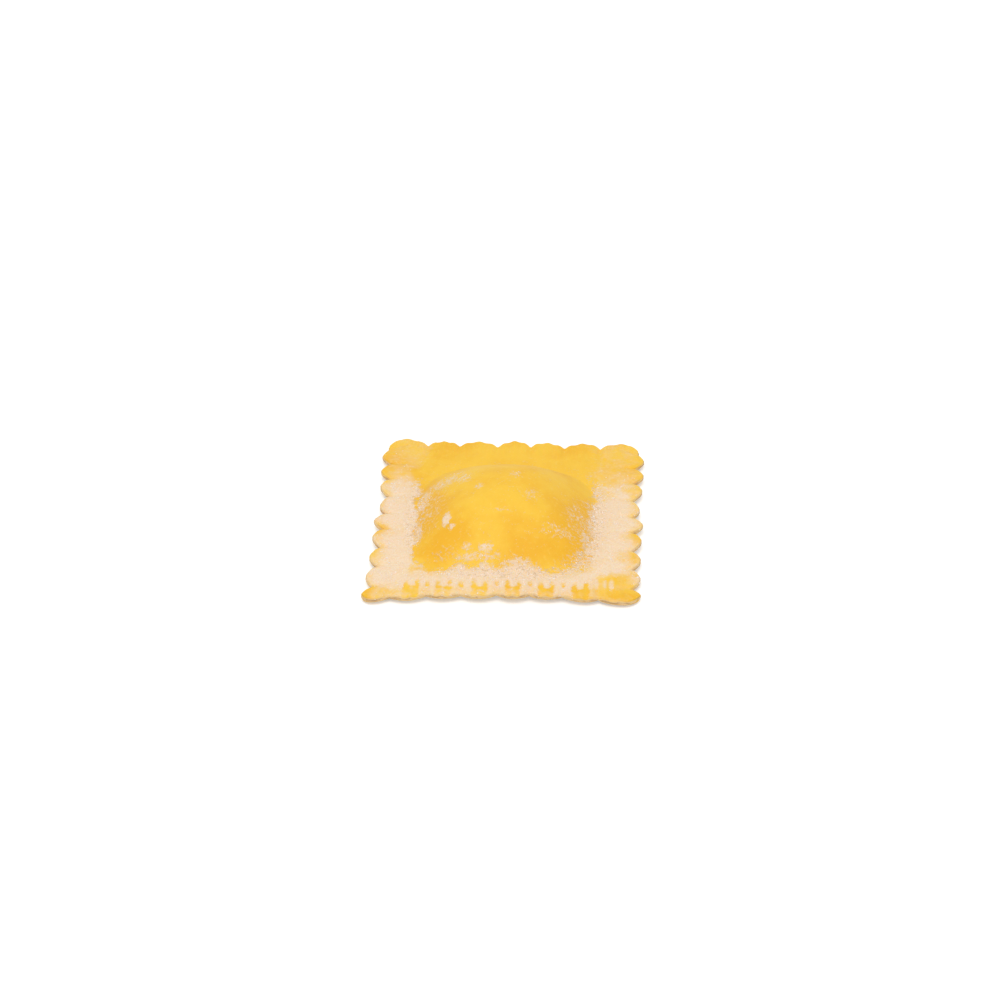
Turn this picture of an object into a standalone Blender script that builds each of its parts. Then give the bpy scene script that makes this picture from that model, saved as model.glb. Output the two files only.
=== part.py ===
"""A whole square raviolo of fresh egg pasta, resting on its flattened belly.

Two pasta sheets lie on each other round a filling. They are pressed together into a flat rim, and the rim is
cut with a fluted wheel, which leaves round lobes with sharp notches between them. The filling can't be seen,
so the raviolo is one solid: a slab whose upper skin rises into a dome and whose lower skin sags into a belly.

Metres, +Z up, front towards -Y. The origin is on the surface that it rests on, under the middle of its box.
"""

import math

import bmesh
import bpy

# Corners of the line that the notches of the cut edge lie on. Hand cutting leaves them not quite square.
FRONT_LEFT = (-0.0260, -0.0288)
FRONT_RIGHT = (0.0259, -0.0276)
BACK_RIGHT = (0.0262, 0.0269)
BACK_LEFT = (-0.0254, 0.0266)

HEIGHT = 0.0113  # from the resting surface to the top of the dome
RIM_THICKNESS = 0.0012  # both sheets, pressed together
RIM_LIFT_SIDE = 0.0011  # how far the rim hangs clear of the surface halfway along a side
RIM_LIFT_CORNER = 0.0003  # the corners droop almost to the surface
RIM_WAVE = 0.0002  # slow waves along the rim

# Each side of the cut edge: from a lobe's tip to the notches beside it, how far the middle of the side is
# drawn in by the filling, and the turns of the wheel at its two ends. One lobe is one turn.
LEFT = {"flute": 0.0021, "bow": 0.0010, "turns": (1.0 / 3.0, 28.0 / 3.0)}
RIGHT = {"flute": 0.0021, "bow": 0.0004, "turns": (1.0 / 3.0, 28.0 / 3.0)}
FRONT = {"flute": 0.0011, "bow": 0.0012, "turns": (1.0 / 3.0, 8.0)}
BACK = {"flute": 0.0016, "bow": 0.0010, "turns": (1.0, 8.0)}
LOBE_ROUNDNESS = 0.75  # below 1, the lobes are fuller than a sine wave and the notches sharper
LOBE_UNEVENNESS = 0.22  # how far the depth of one lobe is from the next, as a share
LOBE_SPREAD = 0.0005  # how far the lobes wander along the edge
LOBE_START = 0.72  # where the lobes begin, as a share of the way from the middle to the edge
CORNER_RADIUS = 0.0032
CORNER_SHARE = 0.122  # how much of a half side the rounding takes up
CRIMP = 0.0003  # how far the lobes stand above the notches on the top of the rim

# The filled middle
DOME_HALF_X = 0.0186
DOME_HALF_Y = 0.0191
DOME_SHIFT_X = -0.0002  # the filling sits a little off the middle
DOME_SHIFT_Y = -0.0018
DOME_SQUARENESS = 3.0  # 2 is an ellipse in plan, and higher is squarer
DOME_FULLNESS = 2.3  # higher makes the crown flatter
DOME_FOOT = 1.2  # above 1, the dome runs out softly into the rim
DOME_LUMPS = 0.00025
BELLY_FLAT = 0.74  # the share of the dome's half size that lies flat on the surface
BELLY_END = 1.12  # where the belly has risen to the underside of the rim

# The mesh, with six or seven segments to a lobe
SEGMENTS_X = 46
SEGMENTS_Y = 54

EGG_PASTA = (0.968, 0.565, 0.078, 1.0)  # linear red, green, blue
PASTA_ROUGHNESS = 0.6


def smooth_step(low, high, value):
    """0 below low, 1 above high, and a smooth rise between them."""
    share = min(1.0, max(0.0, (value - low) / (high - low)))
    return share * share * (3.0 - 2.0 * share)


def uneven(along, start):
    """A slow, irregular wave between -1 and 1 along a side of the raviolo."""
    return 0.6 * math.sin(7.3 * along + start) + 0.4 * math.sin(12.1 * along + 2.3 * start)


def lobe(side, along):
    """How far the cut edge stands out from its notches. along runs from -1 to 1 between two corners."""
    first, last = side["turns"]
    turn = first + (last - first) * (along + 1.0) / 2.0
    full = abs(math.sin(math.pi * turn)) ** LOBE_ROUNDNESS
    return full * (1.0 + LOBE_UNEVENNESS * uneven(along, last))


def nearest_sides(u, v):
    """The side that a point is nearest to across and along the raviolo."""
    return (LEFT if u < 0.0 else RIGHT), (FRONT if v < 0.0 else BACK)


def corner_blend(u, v, axis):
    """A coordinate of the straight-sided outline, blended between the four corners."""
    across = (u + 1.0) / 2.0
    along = (v + 1.0) / 2.0
    front = FRONT_LEFT[axis] + (FRONT_RIGHT[axis] - FRONT_LEFT[axis]) * across
    back = BACK_LEFT[axis] + (BACK_RIGHT[axis] - BACK_LEFT[axis]) * across
    return front + (back - front) * along


def push(side, out, along):
    """How far a side moves a point outwards: the lobes near the edge, less the bow of the whole side."""
    lobes = side["flute"] * lobe(side, along) * smooth_step(LOBE_START, 1.0, out)
    return lobes - side["bow"] * (1.0 - along * along) * out**3


def corner_inset(out, along):
    """How far the rounding of a corner draws a point in. It maps a square corner onto a quarter of a circle."""
    near_edge = max(0.0, (out - 1.0) / CORNER_SHARE + 1.0)
    near_corner = max(0.0, (along - 1.0) / CORNER_SHARE + 1.0)
    return CORNER_RADIUS * near_edge * (1.0 - math.sqrt(1.0 - near_corner * near_corner / 2.0))


def plan_place(u, v):
    """Where a point of the unit square lies in plan. The edges u, v = -1 and 1 follow the cut."""
    beside, ahead = nearest_sides(u, v)
    slide_x = LOBE_SPREAD * uneven(u, 1.7) * (1.0 - u * u) * abs(v) ** 3
    slide_y = LOBE_SPREAD * uneven(v, 4.1) * (1.0 - v * v) * abs(u) ** 3
    out_x = push(beside, abs(u), v) - corner_inset(abs(u), abs(v))
    out_y = push(ahead, abs(v), u) - corner_inset(abs(v), abs(u))
    x = corner_blend(u, v, 0) + math.copysign(1.0, u) * out_x + slide_x
    y = corner_blend(u, v, 1) + math.copysign(1.0, v) * out_y + slide_y
    return x, y


def from_middle(x, y):
    """Distance from the middle of the filling, where 1 is the foot of the dome."""
    across = abs((x - DOME_SHIFT_X) / DOME_HALF_X) ** DOME_SQUARENESS
    along = abs((y - DOME_SHIFT_Y) / DOME_HALF_Y) ** DOME_SQUARENESS
    return (across + along) ** (1.0 / DOME_SQUARENESS)


def rim_underside(u, v):
    """Height of the rim's lower face, which droops towards the corners."""
    corner = (u * v) ** 2
    level = RIM_LIFT_SIDE + (RIM_LIFT_CORNER - RIM_LIFT_SIDE) * corner
    return level + RIM_WAVE * (uneven(u, 0.4) * v * v + uneven(v, 2.9) * u * u) / 2.0


def crimp(u, v):
    """The wheel presses the notches down, so the lobes stand a little proud along the edge."""
    beside, ahead = nearest_sides(u, v)
    on_side = (lobe(beside, v) - 0.6) * smooth_step(LOBE_START, 1.0, abs(u))
    on_front = (lobe(ahead, u) - 0.6) * smooth_step(LOBE_START, 1.0, abs(v))
    return CRIMP * (on_side + on_front)


def upper_skin(u, v, x, y):
    """Height of the top of the raviolo."""
    rise = HEIGHT - RIM_LIFT_SIDE - RIM_THICKNESS
    inside = max(0.0, 1.0 - from_middle(x, y) ** DOME_FULLNESS)
    lumps = DOME_LUMPS * math.sin(260.0 * x + 1.0) * math.sin(210.0 * y + 0.6)
    rim = rim_underside(u, v) + RIM_THICKNESS + crimp(u, v)
    return rim + rise * inside**DOME_FOOT + lumps * min(1.0, 3.0 * inside)


def lower_skin(u, v, x, y):
    """Height of the bottom, which is flat under the filling and rises to the rim."""
    return rim_underside(u, v) * smooth_step(BELLY_FLAT, BELLY_END, from_middle(x, y))


def egg_pasta():
    """Fresh egg dough."""
    material = bpy.data.materials.new("egg_pasta")
    material.use_nodes = True
    shader = material.node_tree.nodes["Principled BSDF"]
    shader.inputs["Base Color"].default_value = EGG_PASTA
    shader.inputs["Roughness"].default_value = PASTA_ROUGHNESS
    shader.inputs["Metallic"].default_value = 0.0
    return material


def slab():
    """A flat square slab in the unit square, with its lower skin at 0 and its upper skin at 1."""
    mesh = bmesh.new()
    bmesh.ops.create_grid(mesh, x_segments=SEGMENTS_X, y_segments=SEGMENTS_Y, size=1.0)
    raised = bmesh.ops.extrude_face_region(mesh, geom=mesh.faces[:], use_keep_orig=True)
    upper = [item for item in raised["geom"] if isinstance(item, bmesh.types.BMVert)]
    bmesh.ops.translate(mesh, verts=upper, vec=(0.0, 0.0, 1.0))
    bmesh.ops.recalc_face_normals(mesh, faces=mesh.faces[:])
    return mesh


def shape(mesh):
    """Moves each point of the slab to its place on the raviolo."""
    for vertex in mesh.verts:
        u, v, level = vertex.co
        x, y = plan_place(u, v)
        skin = upper_skin if level > 0.5 else lower_skin
        vertex.co = (x, y, skin(u, v, x, y))


def centre(mesh):
    """Puts the origin under the middle of the box."""
    xs = [vertex.co.x for vertex in mesh.verts]
    ys = [vertex.co.y for vertex in mesh.verts]
    middle = ((min(xs) + max(xs)) / 2.0, (min(ys) + max(ys)) / 2.0, 0.0)
    bmesh.ops.translate(mesh, verts=mesh.verts[:], vec=[-part for part in middle])


def raviolo(collection):
    """The whole raviolo as one object."""
    mesh = slab()
    shape(mesh)
    centre(mesh)
    data = bpy.data.meshes.new("raviolo")
    mesh.to_mesh(data)
    mesh.free()
    data.shade_smooth()
    data.set_sharp_from_angle(angle=math.radians(50.0))
    data.materials.append(egg_pasta())
    made = bpy.data.objects.new("raviolo", data)
    collection.objects.link(made)
    return made


def main():
    for old in list(bpy.data.objects):
        bpy.data.objects.remove(old)
    collection = bpy.data.collections.new("ravioli")
    bpy.context.scene.collection.children.link(collection)
    raviolo(collection)


main()
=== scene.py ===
"""A whole square raviolo of fresh egg pasta, dusted with flour, on a plain pale floor.

Geometry Nodes shape the pasta by the same rules as the solid part: a pressed rim, a cut edge of round lobes
and a domed middle. They also scatter the loose flour. Sizes are in metres, +Z is up, and the front is -Y.
"""

import math

import bpy
from mathutils import Matrix, Vector


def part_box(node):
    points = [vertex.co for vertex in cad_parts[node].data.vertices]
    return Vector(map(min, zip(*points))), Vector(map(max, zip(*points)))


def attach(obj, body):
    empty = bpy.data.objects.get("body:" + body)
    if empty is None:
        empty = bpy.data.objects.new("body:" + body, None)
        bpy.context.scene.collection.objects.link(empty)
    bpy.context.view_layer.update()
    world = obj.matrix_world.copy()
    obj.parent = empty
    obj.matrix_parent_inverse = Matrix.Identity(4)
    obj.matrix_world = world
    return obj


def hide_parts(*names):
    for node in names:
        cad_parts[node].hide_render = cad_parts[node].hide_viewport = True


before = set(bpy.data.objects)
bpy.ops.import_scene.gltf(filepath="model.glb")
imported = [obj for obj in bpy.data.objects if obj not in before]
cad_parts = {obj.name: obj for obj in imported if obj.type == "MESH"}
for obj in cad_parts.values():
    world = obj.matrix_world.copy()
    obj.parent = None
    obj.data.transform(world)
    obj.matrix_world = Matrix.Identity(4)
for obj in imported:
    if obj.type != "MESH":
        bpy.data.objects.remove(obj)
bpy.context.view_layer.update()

bl_info = {
    "name": "Raviolo",
    "version": (1, 0, 0),
    "blender": (4, 5, 0),
    "location": "View3D > Sidebar > Raviolo",
    "description": "Makes a floured square raviolo and its stage",
    "category": "Add Mesh",
}

# Corners of the line that the notches of the cut edge lie on, before the raviolo is centred
FRONT_LEFT = (-0.0260, -0.0288)
FRONT_RIGHT = (0.0259, -0.0276)
BACK_RIGHT = (0.0262, 0.0269)
BACK_LEFT = (-0.0254, 0.0266)

# Each side of the cut edge: from a lobe's tip to its notches, how far the filling draws in the middle of the
# side, and the turns of the wheel at its two ends. One lobe is one turn.
LEFT = {"flute": 0.0021, "bow": 0.0010, "turns": (1.0 / 3.0, 28.0 / 3.0)}
RIGHT = {"flute": 0.0021, "bow": 0.0004, "turns": (1.0 / 3.0, 28.0 / 3.0)}
FRONT = {"flute": 0.0011, "bow": 0.0012, "turns": (1.0 / 3.0, 8.0)}
BACK = {"flute": 0.0016, "bow": 0.0010, "turns": (1.0, 8.0)}
LOBE_ROUNDNESS = 0.75  # below 1, the lobes are fuller than a sine wave and the notches sharper
LOBE_UNEVENNESS = 0.22  # how far the depth of one lobe is from the next, as a share
LOBE_SPREAD = 0.0005  # how far the lobes wander along the edge
LOBE_START = 0.72  # where the lobes begin, as a share of the way from the middle to the edge
CORNER_RADIUS = 0.0032
CORNER_SHARE = 0.122  # how much of a half side the rounding takes up

# The fine ridges that the wheel presses into the rim, and their heights
RIDGES_PER_LOBE = 3.0
FRONT_RIDGE = 0.00016
BACK_RIDGE = 0.00012
SIDE_RIDGE = 0.00006

RIM_LIFT_SIDE = 0.0011  # how far the rim hangs clear of the floor halfway along a side
RIM_LIFT_CORNER = 0.0003
RIM_WAVE = 0.0002  # slow waves along the rim

# The filled middle
DOME_HALF_X = 0.0186
DOME_HALF_Y = 0.0191
DOME_SHIFT_X = -0.0002
DOME_SHIFT_Y = -0.0018
DOME_SQUARENESS = 3.0  # 2 is an ellipse in plan, and higher is squarer
DOME_FULLNESS = 2.3  # higher makes the crown flatter
DOME_FOOT = 1.2  # above 1, the dome runs out softly into the rim
DOME_LUMPS = 0.00025
BELLY_FLAT = 0.74  # the share of the dome's half size that lies flat on the floor
BELLY_END = 1.12  # where the belly has risen to the underside of the rim

# The cut edge
HALF_WIDTH = 0.0275  # from the middle to the cut, for turning the sizes of the edge into shares
EDGE_ROUND = 0.0006  # radius of the worn top and bottom edges
SEAM_DEPTH = 0.00013  # the faint groove between the two sheets
CUT_ROUGHNESS = 0.00035

POINTS_ACROSS = 216
POINTS_THROUGH = 7
EDGE_CLUSTER = 0.75 * math.pi / 2.0  # packs the points closer towards the edge

FLOUR_BELOW = 0.42  # how thickly the flour lies on the underside
GRAINS_AWAY = 0.22  # how thickly grains lie away from the foot of the dome, where 1 is as at the foot
CLUMPS_PER_GRAIN = 0.05

# Touches of flour: x, y, half width, half length, strength
DABS = (
    (-0.0118, -0.0094, 0.0013, 0.0024, 1.00),
    (-0.0106, -0.0117, 0.0012, 0.0012, 0.60),
    (-0.0155, -0.0035, 0.0050, 0.0095, 0.34),
    (-0.0130, 0.0055, 0.0065, 0.0050, 0.52),
    (-0.0172, 0.0020, 0.0024, 0.0065, 0.60),
    (-0.0178, -0.0080, 0.0016, 0.0070, 0.62),
    (-0.0055, -0.0022, 0.0014, 0.0018, 0.55),
    (-0.0088, 0.0030, 0.0024, 0.0036, 0.52),
    (0.0018, 0.0018, 0.0018, 0.0022, 0.40),
    (0.0052, -0.0045, 0.0026, 0.0026, 0.40),
    (0.0000, -0.0092, 0.0060, 0.0008, 0.36),
    (-0.0072, -0.0163, 0.0014, 0.0012, 0.66),
    (-0.0036, -0.0165, 0.0022, 0.0014, 0.70),
    (-0.0050, -0.0180, 0.0080, 0.0012, 0.52),
    (-0.0120, -0.0168, 0.0050, 0.0022, 0.30),
    (0.0150, -0.0060, 0.0044, 0.0100, 0.39),
    (0.0168, -0.0105, 0.0026, 0.0048, 0.62),
    (0.0115, -0.0118, 0.0048, 0.0024, 0.42),
    (0.0172, -0.0125, 0.0013, 0.0022, 0.95),
    (0.0160, -0.0150, 0.0030, 0.0030, 0.58),
    (0.0085, -0.0125, 0.0022, 0.0014, 0.42),
    (0.0030, -0.0190, 0.0040, 0.0016, 0.70),
)
# The same for places that the flour was rubbed off, most of them along the cut and at the front corners
RUBS = (
    (0.0206, -0.0214, 0.0034, 0.0026, 0.34),
    (0.0232, -0.0212, 0.0026, 0.0026, 0.30),
    (0.0232, -0.0246, 0.0078, 0.0050, 0.70),
    (0.0228, -0.0283, 0.0085, 0.0034, 0.36),
    (0.0256, -0.0200, 0.0030, 0.0022, 0.30),
    (0.0250, -0.0140, 0.0036, 0.0030, 0.42),
    (0.0262, -0.0075, 0.0034, 0.0028, 0.36),
    (-0.0155, -0.0206, 0.0080, 0.0026, 0.30),
    (0.0120, -0.0208, 0.0060, 0.0018, 0.25),
    (-0.0248, -0.0282, 0.0100, 0.0046, 0.62),
    (-0.0272, -0.0225, 0.0022, 0.0024, 0.40),
    (-0.0250, -0.0070, 0.0044, 0.0040, 0.36),
    (-0.0256, -0.0145, 0.0036, 0.0038, 0.32),
)
# White strokes that stayed in the bare corner
STROKES = (
    (0.0188, -0.0228, 0.0008, 0.0034, 0.70),
    (0.0205, -0.0235, 0.0007, 0.0030, 0.62),
    (0.0218, -0.0232, 0.0008, 0.0026, 0.70),
)
# Painted shade: places on the front and sides of the dome where the dough is painted darker and more orange
SHADED_DOME_SIDES = (
    (-0.0130, -0.0140, 0.0075, 0.0045, 0.90),
    (0.0060, -0.0165, 0.0100, 0.0030, 0.60),
    (-0.0155, -0.0050, 0.0060, 0.0110, 1.10),
    (0.0155, -0.0070, 0.0060, 0.0110, 1.00),
)


class Field:
    """A number that varies over a surface, held as a node's output. Arithmetic on it adds nodes."""

    def __init__(self, tree, socket):
        self.tree = tree
        self.socket = socket

    def math(self, operation, *others):
        node = self.tree.nodes.new("ShaderNodeMath")
        node.operation = operation
        for index, value in enumerate((self,) + others):
            plug(self.tree, value, node.inputs[index])
        return Field(self.tree, node.outputs[0])

    def __add__(self, other):
        return self.math("ADD", other)

    __radd__ = __add__

    def __mul__(self, other):
        return self.math("MULTIPLY", other)

    __rmul__ = __mul__

    def __sub__(self, other):
        return self.math("SUBTRACT", other)

    def __rsub__(self, other):
        return self.math("MULTIPLY", -1.0) + other

    def __truediv__(self, other):
        return self.math("DIVIDE", other)

    def __pow__(self, other):
        return self.math("POWER", other)

    def __abs__(self):
        return self.math("ABSOLUTE")

    def at_least(self, other):
        return self.math("MAXIMUM", other)

    def at_most(self, other):
        return self.math("MINIMUM", other)

    def sign(self):
        """-1 or 1, and never 0."""
        return self.math("LESS_THAN", 0.0) * -2.0 + 1.0


def plug(tree, value, socket):
    """Links a Field to a socket, or sets a plain number on it."""
    if isinstance(value, Field):
        tree.links.new(value.socket, socket)
    else:
        socket.default_value = value


def sine(field):
    return field.math("SINE")


def cosine(field):
    return field.math("COSINE")


def root(field):
    return field.math("SQRT")


def smooth_step(low, high, field):
    """0 below low, 1 above high, and a smooth rise between them. It falls where low is above high."""
    tree = field.tree
    node = tree.nodes.new("ShaderNodeMapRange")
    node.interpolation_type = "SMOOTHSTEP"
    plug(tree, field, node.inputs["Value"])
    falls = low > high
    plug(tree, min(low, high), node.inputs["From Min"])
    plug(tree, max(low, high), node.inputs["From Max"])
    plug(tree, 1.0 if falls else 0.0, node.inputs["To Min"])
    plug(tree, 0.0 if falls else 1.0, node.inputs["To Max"])
    return Field(tree, node.outputs["Result"])


def choose(where_one, if_one, if_zero):
    """if_one where the first field is 1, and if_zero where it is 0."""
    return where_one * (if_one - if_zero) + if_zero


def noise(tree, vector, scale, detail=2.0, roughness=0.5):
    """Noise between about 0 and 1, at a scale in cells to the metre."""
    node = tree.nodes.new("ShaderNodeTexNoise")
    tree.links.new(vector, node.inputs["Vector"])
    node.inputs["Scale"].default_value = scale
    node.inputs["Detail"].default_value = detail
    node.inputs["Roughness"].default_value = roughness
    return Field(tree, node.outputs[0])


def separate(tree, vector):
    node = tree.nodes.new("ShaderNodeSeparateXYZ")
    tree.links.new(vector, node.inputs[0])
    return [Field(tree, output) for output in node.outputs]


def combine(tree, x, y, z):
    node = tree.nodes.new("ShaderNodeCombineXYZ")
    for value, socket in zip((x, y, z), node.inputs):
        plug(tree, value, socket)
    return node.outputs[0]


def enabled(sockets, name):
    """The socket of that name that the node's present settings use."""
    return next(socket for socket in sockets if socket.name == name and socket.enabled)


# The rules of the shape


def uneven(along, start):
    """A slow, irregular wave between -1 and 1 along a side."""
    return 0.6 * sine(7.3 * along + start) + 0.4 * sine(12.1 * along + 2.3 * start)


def turn_of(side, along):
    """How many turns the wheel has made at a point along a side."""
    first, last = side["turns"]
    return first + (last - first) * 0.5 * (along + 1.0)


def lobe(side, along):
    """How far the cut edge stands out from its notches."""
    full = abs(sine(math.pi * turn_of(side, along))) ** LOBE_ROUNDNESS
    return full * (1.0 + LOBE_UNEVENNESS * uneven(along, side["turns"][1]))


def ridge(side, along):
    """The fine ridges of the wheel: 1 on a crest and -1 in a groove."""
    return -1.0 * cosine(2.0 * math.pi * RIDGES_PER_LOBE * turn_of(side, along))


def push(side, out, along, shape):
    """How far a side moves a point outwards: the lobes near the edge, less the bow of the whole side."""
    lobes = side["flute"] * shape * smooth_step(LOBE_START, 1.0, out)
    return lobes - side["bow"] * (1.0 - along * along) * out**3.0


def corner_inset(out, along):
    """How far the rounding of a corner draws a point in."""
    near_edge = ((out - 1.0) / CORNER_SHARE + 1.0).at_least(0.0)
    near_corner = ((along - 1.0) / CORNER_SHARE + 1.0).at_least(0.0)
    return CORNER_RADIUS * near_edge * (1.0 - root(1.0 - near_corner * near_corner * 0.5))


def corner_blend(u, v, axis):
    """A coordinate of the straight-sided outline, blended between the four corners."""
    across = (u + 1.0) * 0.5
    along = (v + 1.0) * 0.5
    front = FRONT_LEFT[axis] + (FRONT_RIGHT[axis] - FRONT_LEFT[axis]) * across
    back = BACK_LEFT[axis] + (BACK_RIGHT[axis] - BACK_LEFT[axis]) * across
    return front + (back - front) * along


def from_middle(x, y):
    """Distance from the middle of the filling, where 1 is the foot of the dome."""
    across = abs((x - DOME_SHIFT_X) / DOME_HALF_X) ** DOME_SQUARENESS
    along = abs((y - DOME_SHIFT_Y) / DOME_HALF_Y) ** DOME_SQUARENESS
    return (across + along) ** (1.0 / DOME_SQUARENESS)


def dab(x, y, mark):
    """A soft oval touch, full in the middle and 0 at its edge."""
    middle_x, middle_y, half_x, half_y, strength = mark
    across = (x - middle_x) / half_x
    along = (y - middle_y) / half_y
    return strength * smooth_step(1.15, 0.2, root(across * across + along * along))


def strongest(x, y, marks):
    """The strongest of several touches at a point."""
    most = dab(x, y, marks[0])
    for mark in marks[1:]:
        most = most.at_least(dab(x, y, mark))
    return most


def wheel_marks(x, y, u, fray):
    """Bare marks that the cutting wheel left along the front.

    Each lobe has two, which meet below, and each notch has a dot behind it.
    """
    turn = turn_of(FRONT, u)
    lobes = abs(sine(math.pi * turn))
    grooves = cosine(2.0 * math.pi * RIDGES_PER_LOBE * turn)
    low_middle = smooth_step(0.85, 1.0, lobes) * smooth_step(-0.0249, -0.0262, y + fray * 0.0018)
    meeting = low_middle * (1.65 + 0.6 * uneven(3.1 * u, 1.0))
    bare = smooth_step(-0.20, 0.95, grooves + fray * 2.4 + meeting)

    # The marks begin at a jagged line. At the notches only the dots are left.
    jagged = y + fray * 0.0036 + uneven(6.0 * u, 2.0) * 0.0004
    bare = bare * smooth_step(-0.0223, -0.0241, jagged)
    at_notch = smooth_step(0.62, 0.25, lobes)
    past_dot = smooth_step(-0.0243, -0.0252, jagged)
    bare = bare * (1.0 - at_notch * (0.10 + 0.90 * past_dot))

    # They are paler by the cut, stronger towards the right, and end before the corners
    by_the_cut = smooth_step(-0.0256, -0.0268, y + fray * 0.0016)
    bare = bare * (1.0 - 0.60 * by_the_cut)
    strength = 0.72 + 7.0 * x + fray * 1.2
    return bare * strength * smooth_step(-0.0222, -0.0200, x) * smooth_step(0.0198, 0.0180, x)


def flour_cover(x, y, u, wander, broad, fray):
    """How thickly the flour lies on the upper skin, from 0 to about 1.

    broad, wander and fray are patterns that break up its edges, each finer than the one before.
    """
    drift = wander + broad * smooth_step(-0.0010, 0.0070, y)
    tips = smooth_step(0.90, 0.99, abs(u))
    left = smooth_step(-0.0174, -0.0193, x + drift) * (1.0 - 0.42 * tips)
    right = smooth_step(0.0152, 0.0190, x + drift) * (0.90 - 0.40 * tips)
    right_corner = 0.62 * smooth_step(0.0272, 0.0325, x - y + wander * 1.5)
    right_corner = right_corner * smooth_step(-0.0060, -0.0100, y)
    left_corner = 0.66 * smooth_step(0.0322, 0.0368, wander * 1.5 - x - y)
    back = smooth_step(0.0020, 0.0190, y + wander * 4.0 + broad)
    sides = left.at_least(right).at_least(right_corner).at_least(left_corner) * (1.0 - 0.72 * back)
    fade = 1.0 - 0.32 * smooth_step(-0.0240, -0.0262, y)
    front = smooth_step(-0.0180, -0.0206, y + wander) * fade

    cover = sides.at_least(front * 0.96).at_least(broad * 12.0)
    cover = cover.at_least(strongest(x, y, DABS))
    ragged_x = x + wander * 0.6
    ragged_y = y + wander * 0.4 + fray * 0.0016
    for mark in RUBS:
        cover = cover - dab(ragged_x, ragged_y, mark)
    cover = cover - wheel_marks(x, y, u, fray)
    return cover.at_least(0.0).at_least(strongest(x, y, STROKES))


def rim_underside(u, v):
    """Height of the rim's lower face, which droops towards the corners."""
    corner = u * u * v * v
    waves = uneven(u, 0.4) * v * v + uneven(v, 2.9) * u * u
    return RIM_LIFT_SIDE + (RIM_LIFT_CORNER - RIM_LIFT_SIDE) * corner + waves * (0.5 * RIM_WAVE)


def wheel_ridges(u, v, is_left, is_front):
    """Height of the wheel's fine ridges on the rim, which fade towards the corners."""
    out_u, out_v = abs(u), abs(v)
    ahead = choose(is_front, FRONT_RIDGE, BACK_RIDGE) * choose(is_front, ridge(FRONT, u), ridge(BACK, u))
    beside = SIDE_RIDGE * choose(is_left, ridge(LEFT, v), ridge(RIGHT, v))
    ahead = ahead * smooth_step(0.76, 0.90, out_v) * smooth_step(0.97, 0.85, out_u)
    beside = beside * smooth_step(0.84, 0.92, out_u) * smooth_step(0.97, 0.85, out_v)
    return ahead + beside


def skin_relief(tree, flat_place, cover):
    """Slow swells, a fine grain, and the crust of the flour."""
    swell = (noise(tree, flat_place, 170.0, 2.0) - 0.5) * 0.00034
    grain = (noise(tree, flat_place, 1300.0, 3.0, 0.6) - 0.5) * 0.00006
    crust = (noise(tree, flat_place, 1900.0, 2.0, 0.7) - 0.35) * 0.00012 * cover
    return swell + grain + crust


def geometry_tree(name, sizes, takes_mesh=False):
    """An empty tree with named inputs, and a Field for each of them."""
    tree = bpy.data.node_groups.new(name, "GeometryNodeTree")
    tree.is_modifier = True
    sockets = {}
    if takes_mesh:
        tree.interface.new_socket("Geometry", in_out="INPUT", socket_type="NodeSocketGeometry")
    for label, kind, default in sizes:
        socket = tree.interface.new_socket(label, in_out="INPUT", socket_type=kind)
        socket.default_value = default
        sockets[label] = socket.identifier
    tree.interface.new_socket("Geometry", in_out="OUTPUT", socket_type="NodeSocketGeometry")
    group_in = tree.nodes.new("NodeGroupInput")
    fields = {label: Field(tree, group_in.outputs[label]) for label, _, _ in sizes}
    return tree, group_in, fields, sockets


def chain(tree, node_type, geometry, **settings):
    """Adds a node that takes and gives geometry, with its inputs set by name."""
    node = tree.nodes.new(node_type)
    tree.links.new(geometry, node.inputs[0])
    for label, value in settings.items():
        socket = enabled(node.inputs, label.replace("_", " ").title())
        if isinstance(value, bpy.types.NodeSocket):
            tree.links.new(value, socket)
        else:
            plug(tree, value, socket)
    return node


def store(tree, geometry, name, field):
    """Keeps a field on the mesh as a point attribute that materials can read."""
    node = tree.nodes.new("GeometryNodeStoreNamedAttribute")
    node.data_type = "FLOAT"
    node.domain = "POINT"
    tree.links.new(geometry, node.inputs["Geometry"])
    node.inputs["Name"].default_value = name
    tree.links.new(field.socket, enabled(node.inputs, "Value"))
    return node.outputs["Geometry"]


def finish_tree(tree, geometry, material):
    """Makes the copies real, gives them their material, and ends the tree."""
    realized = chain(tree, "GeometryNodeRealizeInstances", geometry)
    painted = chain(tree, "GeometryNodeSetMaterial", realized.outputs[0], material=material)
    out = tree.nodes.new("NodeGroupOutput")
    tree.links.new(painted.outputs[0], out.inputs[0])


def plain_mesh(name, tree, sockets, values, start=None):
    """Runs a tree on a new object, and keeps the result as a plain mesh with no modifier."""
    data = start.copy() if start else bpy.data.meshes.new(name)
    piece = bpy.data.objects.new(name, data)
    bpy.context.scene.collection.objects.link(piece)
    modifier = piece.modifiers.new(name, "NODES")
    modifier.node_group = tree
    for label, value in values.items():
        modifier[sockets[label]] = value
    graph = bpy.context.evaluated_depsgraph_get()
    result = bpy.data.meshes.new_from_object(piece.evaluated_get(graph), depsgraph=graph)
    piece.modifiers.remove(modifier)
    piece.data = result
    bpy.data.meshes.remove(data)
    result.name = name
    result.shade_smooth()
    return piece


def centre_over(piece, low, high):
    """Moves a mesh along the floor, so that its box has the same middle as another."""
    shift = [0.0, 0.0, 0.0]
    for axis in range(2):
        along = [vertex.co[axis] for vertex in piece.data.vertices]
        shift[axis] = (low[axis] + high[axis]) / 2.0 - (min(along) + max(along)) / 2.0
    piece.data.transform(Matrix.Translation(shift))


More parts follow.
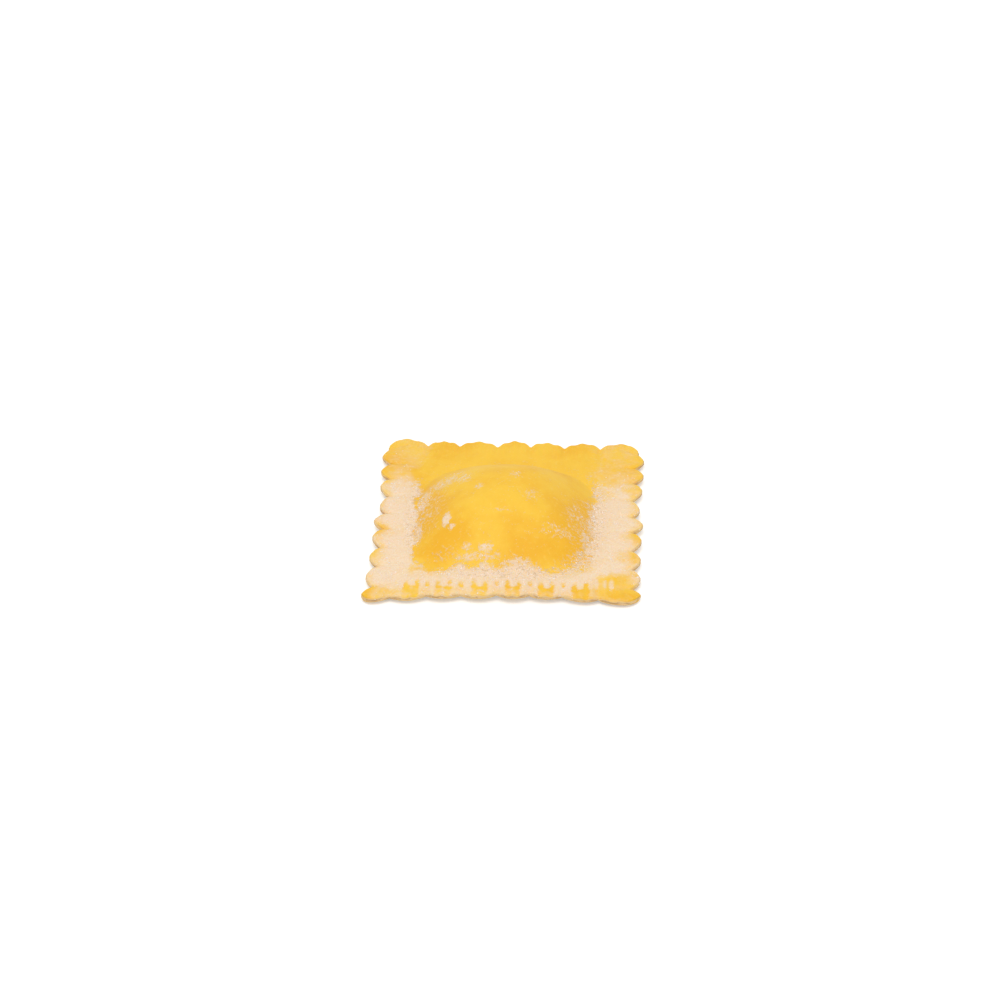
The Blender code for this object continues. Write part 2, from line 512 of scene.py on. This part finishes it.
def pasta_tree(material):
    """The raviolo's outer skin, moved into shape from a finely divided slab."""
    sizes = (
        ("Height", "NodeSocketFloat", 0.0113),
        ("Rim thickness", "NodeSocketFloat", 0.0012),
        ("Crimp", "NodeSocketFloat", 0.0003),
        ("Ridges", "NodeSocketFloat", 1.0),
        ("Skin relief", "NodeSocketFloat", 1.0),
    )
    tree, _, size, sockets = geometry_tree("raviolo_pasta", sizes)
    cube = tree.nodes.new("GeometryNodeMeshCube")
    cube.inputs["Size"].default_value = (2.0, 2.0, 2.0)
    cube.inputs["Vertices X"].default_value = POINTS_ACROSS
    cube.inputs["Vertices Y"].default_value = POINTS_ACROSS
    cube.inputs["Vertices Z"].default_value = POINTS_THROUGH
    place = tree.nodes.new("GeometryNodeInputPosition").outputs[0]
    flat_x, flat_y, level = separate(tree, place)
    u = sine(flat_x * EDGE_CLUSTER) / math.sin(EDGE_CLUSTER)
    v = sine(flat_y * EDGE_CLUSTER) / math.sin(EDGE_CLUSTER)
    out_u, out_v = abs(u), abs(v)
    is_left = u.math("LESS_THAN", 0.0)
    is_front = v.math("LESS_THAN", 0.0)
    side_u, side_v = u.sign(), v.sign()

    lobes_left, lobes_right = lobe(LEFT, v), lobe(RIGHT, v)
    lobes_front, lobes_back = lobe(FRONT, u), lobe(BACK, u)
    push_left, push_right = push(LEFT, out_u, v, lobes_left), push(RIGHT, out_u, v, lobes_right)
    push_front, push_back = push(FRONT, out_v, u, lobes_front), push(BACK, out_v, u, lobes_back)
    lobes_side = choose(is_left, lobes_left, lobes_right)
    lobes_ahead = choose(is_front, lobes_front, lobes_back)

    # The cut edge: rounded above and below, and creased where the two sheets meet
    near_side = (1.0 - (1.0 - out_u) * (HALF_WIDTH / EDGE_ROUND)).at_least(0.0)
    near_ahead = (1.0 - (1.0 - out_v) * (HALF_WIDTH / EDGE_ROUND)).at_least(0.0)
    near_cut = near_side.at_least(near_ahead)
    skin = smooth_step(0.6, 1.0, abs(level))
    torn = noise(tree, place, 9.0, 3.0) - 0.5
    seam = (1.0 - abs(level) * 3.0).at_least(0.0) * SEAM_DEPTH
    cut_inset = 0.32 * EDGE_ROUND * skin + seam - torn * CUT_ROUGHNESS * (1.0 - 0.5 * skin)
    out_x = choose(is_left, push_left, push_right) - corner_inset(out_u, out_v)
    out_y = choose(is_front, push_front, push_back) - corner_inset(out_v, out_u)
    out_x = out_x - cut_inset * near_side**4.0
    out_y = out_y - cut_inset * near_ahead**4.0

    slide_x = LOBE_SPREAD * uneven(u, 1.7) * (1.0 - u * u) * out_v**3.0
    slide_y = LOBE_SPREAD * uneven(v, 4.1) * (1.0 - v * v) * out_u**3.0
    x = corner_blend(u, v, 0) + side_u * out_x + slide_x
    y = corner_blend(u, v, 1) + side_v * out_y + slide_y

    radius = from_middle(x, y)
    underside = rim_underside(u, v)
    fade_u = smooth_step(LOBE_START, 1.0, out_u)
    fade_v = smooth_step(LOBE_START, 1.0, out_v)
    crimp = size["Crimp"] * ((lobes_side - 0.6) * fade_u + (lobes_ahead - 0.6) * fade_v)
    inside = (1.0 - radius**DOME_FULLNESS).at_least(0.0)
    rise = size["Height"] - RIM_LIFT_SIDE - size["Rim thickness"]
    lumps = DOME_LUMPS * sine(260.0 * x + 1.0) * sine(210.0 * y + 0.6) * (3.0 * inside).at_most(1.0)
    ridges = size["Ridges"] * wheel_ridges(u, v, is_left, is_front)

    flat_place = combine(tree, x, y, 0.0)
    wander = (noise(tree, flat_place, 330.0, 3.0, 0.6) - 0.5) * 0.0045
    broad = (noise(tree, flat_place, 110.0, 2.0) - 0.5) * 0.010
    fray = noise(tree, flat_place, 900.0, 2.0) - 0.5
    cover = flour_cover(x, y, u, wander, broad, fray)
    relief = size["Skin relief"] * skin_relief(tree, flat_place, cover)
    worn = 0.45 * EDGE_ROUND * near_cut * near_cut

    off_floor = smooth_step(BELLY_FLAT, BELLY_END, radius)
    rough = (noise(tree, flat_place, 420.0, 2.0) - 0.5) * 0.00012
    bottom = underside * off_floor + (worn + rough) * off_floor
    top = underside + size["Rim thickness"] + crimp + rise * inside**DOME_FOOT + lumps
    top = top + ridges + relief - worn
    z = bottom + (top - bottom) * (level * 0.5 + 0.5)

    # The fields follow the slab's own points, so what the materials read is kept before the points move
    upper = smooth_step(0.2, 0.9, level)
    foot = smooth_step(0.84, 0.98, radius) * smooth_step(1.16, 1.03, radius)
    stored = {
        "flour": cover * upper + FLOUR_BELOW * (1.0 - upper),
        "cut": 1.0 - skin,
        "foot": foot * upper,
        "upper": upper,
        # painted shade on the front and sides of the dome
        "dome_side_shade": strongest(x, y, SHADED_DOME_SIDES) * upper,
        "dome": smooth_step(1.24, 1.08, radius) * upper,
    }
    geometry = cube.outputs["Mesh"]
    for name, field in stored.items():
        geometry = store(tree, geometry, name, field)
    shaped = chain(tree, "GeometryNodeSetPosition", geometry, position=combine(tree, x, y, z))
    finish_tree(tree, shaped.outputs[0], material)
    return tree, sockets


def flour_tree(name, material):
    """Small lumps of flour, scattered where the flour lies thick."""
    sizes = (
        ("Smallest", "NodeSocketFloat", 0.00016),
        ("Largest", "NodeSocketFloat", 0.00032),
        ("Number", "NodeSocketFloat", 4.0e6),
        ("Least cover", "NodeSocketFloat", 0.2),
        ("Seed", "NodeSocketInt", 3),
    )
    tree, group_in, size, sockets = geometry_tree(name, sizes, takes_mesh=True)

    def kept(attribute):
        """What the pasta's tree stored on the mesh under that name."""
        node = tree.nodes.new("GeometryNodeInputNamedAttribute")
        node.data_type = "FLOAT"
        node.inputs["Name"].default_value = attribute
        return Field(tree, enabled(node.outputs, "Attribute"))

    def chance(kind, low, high, seed):
        """A random value for each grain."""
        node = tree.nodes.new("FunctionNodeRandomValue")
        node.data_type = kind
        plug(tree, low, enabled(node.inputs, "Min"))
        plug(tree, high, enabled(node.inputs, "Max"))
        node.inputs["Seed"].default_value = seed
        return enabled(node.outputs, "Value")

    place = tree.nodes.new("GeometryNodeInputPosition").outputs[0]
    patchy = noise(tree, place, 600.0, 3.0, 0.65)
    thick = smooth_step(0.0, 0.35, kept("flour") - size["Least cover"] + (patchy - 0.5) * 1.1)
    crowding = GRAINS_AWAY + (1.0 - GRAINS_AWAY) * kept("foot")
    density = thick * kept("upper") * crowding * size["Number"]
    scatter = tree.nodes.new("GeometryNodeDistributePointsOnFaces")
    tree.links.new(group_in.outputs["Geometry"], scatter.inputs["Mesh"])
    tree.links.new(density.socket, enabled(scatter.inputs, "Density"))
    tree.links.new(size["Seed"].socket, scatter.inputs["Seed"])
    lump = tree.nodes.new("GeometryNodeMeshIcoSphere")
    lump.inputs["Radius"].default_value = 0.5
    lump.inputs["Subdivisions"].default_value = 1
    stretch = chance("FLOAT_VECTOR", (0.65, 0.65, 0.45), (1.25, 1.25, 0.9), 11)
    width = Field(tree, chance("FLOAT", size["Smallest"], size["Largest"], 12))
    scaled = tree.nodes.new("ShaderNodeVectorMath")
    scaled.operation = "SCALE"
    tree.links.new(stretch, scaled.inputs[0])
    tree.links.new(width.socket, scaled.inputs["Scale"])
    spread = tree.nodes.new("GeometryNodeInstanceOnPoints")
    tree.links.new(scatter.outputs["Points"], spread.inputs["Points"])
    tree.links.new(lump.outputs["Mesh"], spread.inputs["Instance"])
    tree.links.new(chance("FLOAT_VECTOR", (0.0, 0.0, 0.0), (0.5, 0.5, 6.28), 13), spread.inputs["Rotation"])
    tree.links.new(scaled.outputs[0], spread.inputs["Scale"])
    finish_tree(tree, spread.outputs[0], material)
    return tree, sockets


# The materials


def shader_of(name):
    """A new material, its tree and its shader."""
    material = bpy.data.materials.new(name)
    material.use_nodes = True
    tree = material.node_tree
    return material, tree, tree.nodes["Principled BSDF"]


def mix_colour(tree, factor, first, second):
    """A blend of two colours, each a tuple or another blend's output."""
    node = tree.nodes.new("ShaderNodeMix")
    node.data_type = "RGBA"
    plug(tree, factor, enabled(node.inputs, "Factor"))
    for label, value in (("A", first), ("B", second)):
        socket = enabled(node.inputs, label)
        if isinstance(value, bpy.types.NodeSocket):
            tree.links.new(value, socket)
        else:
            socket.default_value = (*value[:3], 1.0)
    return enabled(node.outputs, "Result")


def attribute(tree, name):
    """What the pasta's tree stored on the mesh under that name."""
    node = tree.nodes.new("ShaderNodeAttribute")
    node.attribute_name = name
    return Field(tree, node.outputs["Fac"])


def pasta_material(settings):
    """Egg dough under a broken film of flour."""
    material, tree, shader = shader_of("floured_egg_pasta")
    place = tree.nodes.new("ShaderNodeTexCoord").outputs["Object"]
    flour = attribute(tree, "flour")
    cut = attribute(tree, "cut")
    foot = attribute(tree, "foot")
    dome = attribute(tree, "dome")

    broad = noise(tree, place, 90.0, 2.0)
    mottle = noise(tree, place, 420.0, 3.0, 0.6)
    fine = noise(tree, place, 1500.0, 3.0, 0.65)
    speck = noise(tree, place, 2600.0, 2.0, 0.7)

    # Orange patches at random, and painted shade on the front and sides of the dome
    warm_tone_and_side_shade = smooth_step(0.38, 0.72, broad * 0.7 + mottle * 0.3 + attribute(tree, "dome_side_shade") * 0.25)
    dough = mix_colour(tree, warm_tone_and_side_shade, settings.dough, settings.warm_dough_and_side_shade)
    dough = mix_colour(tree, 0.35 * smooth_step(0.52, 0.72, fine), dough, settings.dough_pale)
    dough = mix_colour(tree, 0.75 * cut, dough, settings.cut_edge)
    # Painted shade: broken darker stretches in the crease where the two sheets meet on the cut
    seam = smooth_step(0.7, 1.0, cut) * smooth_step(0.44, 0.58, mottle)
    dough = mix_colour(tree, seam, dough, settings.seam)

    # The film of flour lies softly on the rim and breaks into grains on the dome
    soft = smooth_step(0.04, 0.96, flour + (mottle - 0.5) * 0.60 + (fine - 0.5) * 0.40)
    grainy = flour * 0.9 + (mottle - 0.5) * 0.5 + (fine - 0.5) * 1.5 + (speck - 0.5) * 1.3
    grainy = smooth_step(0.20, 0.78, grainy)
    film = choose(dome, grainy, soft) * (0.96 - 0.45 * cut)
    dusty = mix_colour(tree, smooth_step(0.42, 0.66, speck), settings.flour, settings.flour_shade)
    # Painted shade: dark specks in the crease at the foot of the dome
    dusty = mix_colour(tree, foot * smooth_step(0.52, 0.62, fine) * 0.6, dusty, settings.foot_shade_specks)
    colour = mix_colour(tree, film, dough, dusty)
    tree.links.new(colour, shader.inputs["Base Color"])

    rough = settings.dough_roughness + (0.92 - settings.dough_roughness) * film + (fine - 0.5) * 0.10
    tree.links.new(rough.socket, shader.inputs["Roughness"])
    shader.inputs["Specular IOR Level"].default_value = 0.22
    shader.inputs["Subsurface Weight"].default_value = 0.12
    shader.inputs["Subsurface Radius"].default_value = (1.0, 0.55, 0.15)
    shader.inputs["Subsurface Scale"].default_value = 0.0015

    relief = film * 0.00007 + (fine - 0.5) * 0.00006 + (speck - 0.5) * film * 0.00008
    bump = tree.nodes.new("ShaderNodeBump")
    bump.inputs["Strength"].default_value = 0.8
    bump.inputs["Distance"].default_value = 1.0
    tree.links.new(relief.socket, bump.inputs["Height"])
    tree.links.new(bump.outputs["Normal"], shader.inputs["Normal"])
    return material


def flour_material(name, settings):
    """Dry flour, fully matt."""
    material, tree, shader = shader_of(name)
    place = tree.nodes.new("ShaderNodeTexCoord").outputs["Object"]
    shade = smooth_step(0.40, 0.70, noise(tree, place, 1200.0, 2.0))
    colour = mix_colour(tree, shade, settings.flour, settings.flour_shade)
    tree.links.new(colour, shader.inputs["Base Color"])
    shader.inputs["Roughness"].default_value = 0.95
    shader.inputs["Specular IOR Level"].default_value = 0.2
    return material


def seen_directly(tree):
    """1 for what the camera sees, straight or in a reflection or through glass, and 0 for other light."""
    path = tree.nodes.new("ShaderNodeLightPath")
    seen = Field(tree, path.outputs["Is Camera Ray"])
    seen = seen.at_least(Field(tree, path.outputs["Is Glossy Ray"]))
    return seen.at_least(Field(tree, path.outputs["Is Transmission Ray"]))


def floor_material(settings):
    """A pale floor that shows plain white, and keeps the shadow of what stands on it."""
    material, tree, shader = shader_of("pale_floor")
    shader.inputs["Base Color"].default_value = (*settings.floor, 1.0)
    shader.inputs["Roughness"].default_value = 0.9
    shader.inputs["Specular IOR Level"].default_value = 0.0
    glow = tree.nodes.new("ShaderNodeEmission")
    plug(tree, seen_directly(tree) * settings.floor_lift, glow.inputs["Strength"])
    both = tree.nodes.new("ShaderNodeAddShader")
    tree.links.new(shader.outputs[0], both.inputs[0])
    tree.links.new(glow.outputs[0], both.inputs[1])
    tree.links.new(both.outputs[0], tree.nodes["Material Output"].inputs["Surface"])
    return material


# What a user would change


def amount(name, description, default, **limits):
    """A number that a user can change."""
    return bpy.props.FloatProperty(name=name, description=description, default=default, **limits)


def length(name, description, default):
    """A length in metres."""
    return amount(name, description, default, min=0.0, precision=5, subtype="DISTANCE", unit="LENGTH")


def share(name, description, default, most=2.0):
    """A strength, where 1 is as modelled or full."""
    return amount(name, description, default, min=0.0, max=most, subtype="FACTOR")


def tint(name, description, default):
    """A colour in linear red, green and blue."""
    return bpy.props.FloatVectorProperty(
        name=name, description=description, default=default, size=3, min=0.0, max=1.0, subtype="COLOR"
    )


class RavioloPastaSettings(bpy.types.PropertyGroup):
    """Sizes and colours of the pasta."""

    height: length("Height", "From the floor to the crown of the dome", 0.0113)
    rim_thickness: length("Rim thickness", "Both sheets, pressed together", 0.0012)
    crimp: length("Crimp", "How far the lobes stand above the notches", 0.0003)
    ridges: share("Ridges", "Height of the wheel's fine ridges on the rim", 1.0)
    skin_relief: share("Skin relief", "Strength of the lumps and grain of the skin", 1.0)
    dough: tint("Dough", "Clean egg dough", (0.965, 0.590, 0.056))
    # Orange at random, and painted shade on the front and sides of the dome
    warm_dough_and_side_shade: tint("Warm dough", "Thicker, more orange places", (0.905, 0.480, 0.026))
    dough_pale: tint("Pale dough", "Fine paler mottling", (0.985, 0.670, 0.130))
    cut_edge: tint("Cut edge", "The bare cut", (0.870, 0.625, 0.345))
    # Painted shade in the crease where the two sheets meet on the cut
    seam: tint("Seam", "Darker stretches where the two sheets meet on the cut", (0.620, 0.350, 0.110))
    flour: tint("Flour", "The film of flour", (0.930, 0.740, 0.550))
    flour_shade: tint("Flour shade", "Thinner flour with dough behind it", (0.905, 0.660, 0.420))
    # Painted shade: dark specks in the crease at the foot of the dome
    foot_shade_specks: tint("Flour specks", "Damp specks at the foot of the dome", (0.600, 0.400, 0.200))
    dough_roughness: share("Dough roughness", "Roughness of the clean dough", 0.58, 1.0)


class RavioloFlourSettings(bpy.types.PropertyGroup):
    """The loose flour."""

    smallest: length("Smallest grain", "Width of the smallest grain", 0.00012)
    largest: length("Largest grain", "Width of the largest grain", 0.00030)
    clump: length("Largest clump", "Width of the largest clump", 0.00060)
    number: amount("Number", "Grains to a square metre where the flour is thick", 9.0e6, min=0.0)
    flour: tint("Flour", "Loose flour", (0.975, 0.860, 0.760))
    flour_shade: tint("Flour shade", "Its shaded grains", (0.920, 0.740, 0.570))


class RavioloStageSettings(bpy.types.PropertyGroup):
    """The floor, the light and the camera."""

    floor: tint("Floor", "Colour of the floor", (0.86, 0.86, 0.86))
    floor_lift: share("Floor lift", "Light that the camera alone sees on the floor", 0.34)
    world_level: share("World level", "Soft light from all round", 0.67)
    key_power: amount("Key power", "Power of the soft lamp", 3.5, min=0.0, subtype="POWER", unit="POWER")
    camera_distance: length("Camera distance", "From the camera to the point it aims at", 0.600)
    lens: amount(
        "Lens", "Focal length for a 36 mm sensor", 103.4, min=10.0, subtype="DISTANCE_CAMERA", unit="CAMERA"
    )


class RAVIOLO_OT_pasta(bpy.types.Operator):
    """Make the filled pasta square"""

    bl_idname = "raviolo.pasta"
    bl_label = "Make the pasta"

    def execute(self, context):
        settings = context.scene.raviolo_pasta
        tree, sockets = pasta_tree(pasta_material(settings))
        low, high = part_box("raviolo")
        values = {
            "Height": settings.height,
            "Rim thickness": settings.rim_thickness,
            "Crimp": settings.crimp,
            "Ridges": settings.ridges,
            "Skin relief": settings.skin_relief,
        }
        piece = plain_mesh("pasta", tree, sockets, values)
        centre_over(piece, low, high)
        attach(piece, "root")
        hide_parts("raviolo")
        return {"FINISHED"}


class RAVIOLO_OT_flour(bpy.types.Operator):
    """Scatter the loose grains and clumps of flour over the pasta"""

    bl_idname = "raviolo.flour"
    bl_label = "Scatter the flour"

    def execute(self, context):
        settings = context.scene.raviolo_flour
        material = flour_material("loose_flour", settings)
        tree, sockets = flour_tree("raviolo_flour", material)
        kinds = {
            "flour_grains": (settings.smallest, settings.largest, settings.number, 0.30, 3),
            "flour_clumps": (settings.largest, settings.clump, settings.number * CLUMPS_PER_GRAIN, 0.45, 8),
        }
        for name, values in kinds.items():
            named = dict(zip(("Smallest", "Largest", "Number", "Least cover", "Seed"), values))
            piece = plain_mesh(name, tree, sockets, named, start=bpy.data.objects["pasta"].data)
            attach(piece, "root")
        return {"FINISHED"}


class RAVIOLO_OT_stage(bpy.types.Operator):
    """Set out the floor, the soft light and the camera"""

    bl_idname = "raviolo.stage"
    bl_label = "Set the stage"

    def execute(self, context):
        settings = context.scene.raviolo_stage
        self.floor(context, settings)
        self.light(context, settings)
        self.camera(context, settings)
        context.scene.view_settings.view_transform = "Standard"
        return {"FINISHED"}

    def floor(self, context, settings):
        data = bpy.data.meshes.new("floor")
        half = 2.0
        corners = [(-half, -half, 0.0), (half, -half, 0.0), (half, half, 0.0), (-half, half, 0.0)]
        data.from_pydata(corners, [], [(0, 1, 2, 3)])
        data.materials.append(floor_material(settings))
        piece = bpy.data.objects.new("floor", data)
        context.scene.collection.objects.link(piece)

    def light(self, context, settings):
        world = bpy.data.worlds.new("soft_white")
        context.scene.world = world
        world.use_nodes = True
        tree = world.node_tree
        background = tree.nodes["Background"]
        background.inputs["Color"].default_value = (1.0, 1.0, 1.0, 1.0)
        strength = choose(seen_directly(tree), 1.0, settings.world_level)
        plug(tree, strength, background.inputs["Strength"])
        data = bpy.data.lights.new("key", "AREA")
        data.shape = "DISK"
        data.size = 0.6
        data.energy = settings.key_power
        lamp = bpy.data.objects.new("key", data)
        lamp.location = (-0.06, -0.36, 0.88)
        lamp.rotation_euler = (-Vector(lamp.location)).to_track_quat("-Z", "Y").to_euler()
        context.scene.collection.objects.link(lamp)

    def camera(self, context, settings):
        turn = Matrix.Rotation(math.radians(2.5), 4, "Z")
        lift = math.radians(34.4)
        aim = Vector((-0.0016, 0.00925, 0.0))
        away = Vector((0.0, -math.cos(lift), math.sin(lift))) * settings.camera_distance
        data = bpy.data.cameras.new("camera")
        data.lens = settings.lens
        data.sensor_width = 36.0
        data.clip_start = 0.01
        camera = bpy.data.objects.new("camera", data)
        camera.location = turn @ (aim + away)
        camera.rotation_euler = (turn @ (-away)).to_track_quat("-Z", "Y").to_euler()
        context.scene.collection.objects.link(camera)
        context.scene.camera = camera


class RAVIOLO_PT_panel(bpy.types.Panel):
    """Sizes, colours and the buttons that make each piece"""

    bl_idname = "RAVIOLO_PT_panel"
    bl_label = "Raviolo"
    bl_space_type = "VIEW_3D"
    bl_region_type = "UI"
    bl_category = "Raviolo"

    def draw(self, context):
        layout = self.layout
        for group in ("pasta", "flour", "stage"):
            box = layout.box()
            box.operator("raviolo." + group)
            settings = getattr(context.scene, "raviolo_" + group)
            for name in settings.__annotations__:
                box.prop(settings, name)


CLASSES = (
    RavioloPastaSettings,
    RavioloFlourSettings,
    RavioloStageSettings,
    RAVIOLO_OT_pasta,
    RAVIOLO_OT_flour,
    RAVIOLO_OT_stage,
    RAVIOLO_PT_panel,
)


def register():
    for each in CLASSES:
        bpy.utils.register_class(each)
    bpy.types.Scene.raviolo_pasta = bpy.props.PointerProperty(type=RavioloPastaSettings)
    bpy.types.Scene.raviolo_flour = bpy.props.PointerProperty(type=RavioloFlourSettings)
    bpy.types.Scene.raviolo_stage = bpy.props.PointerProperty(type=RavioloStageSettings)


def unregister():
    del bpy.types.Scene.raviolo_stage
    del bpy.types.Scene.raviolo_flour
    del bpy.types.Scene.raviolo_pasta
    for each in reversed(CLASSES):
        bpy.utils.unregister_class(each)


def main():
    register()
    bpy.ops.raviolo.pasta()
    bpy.ops.raviolo.flour()
    bpy.ops.raviolo.stage()


if __name__ == "__main__":
    main()
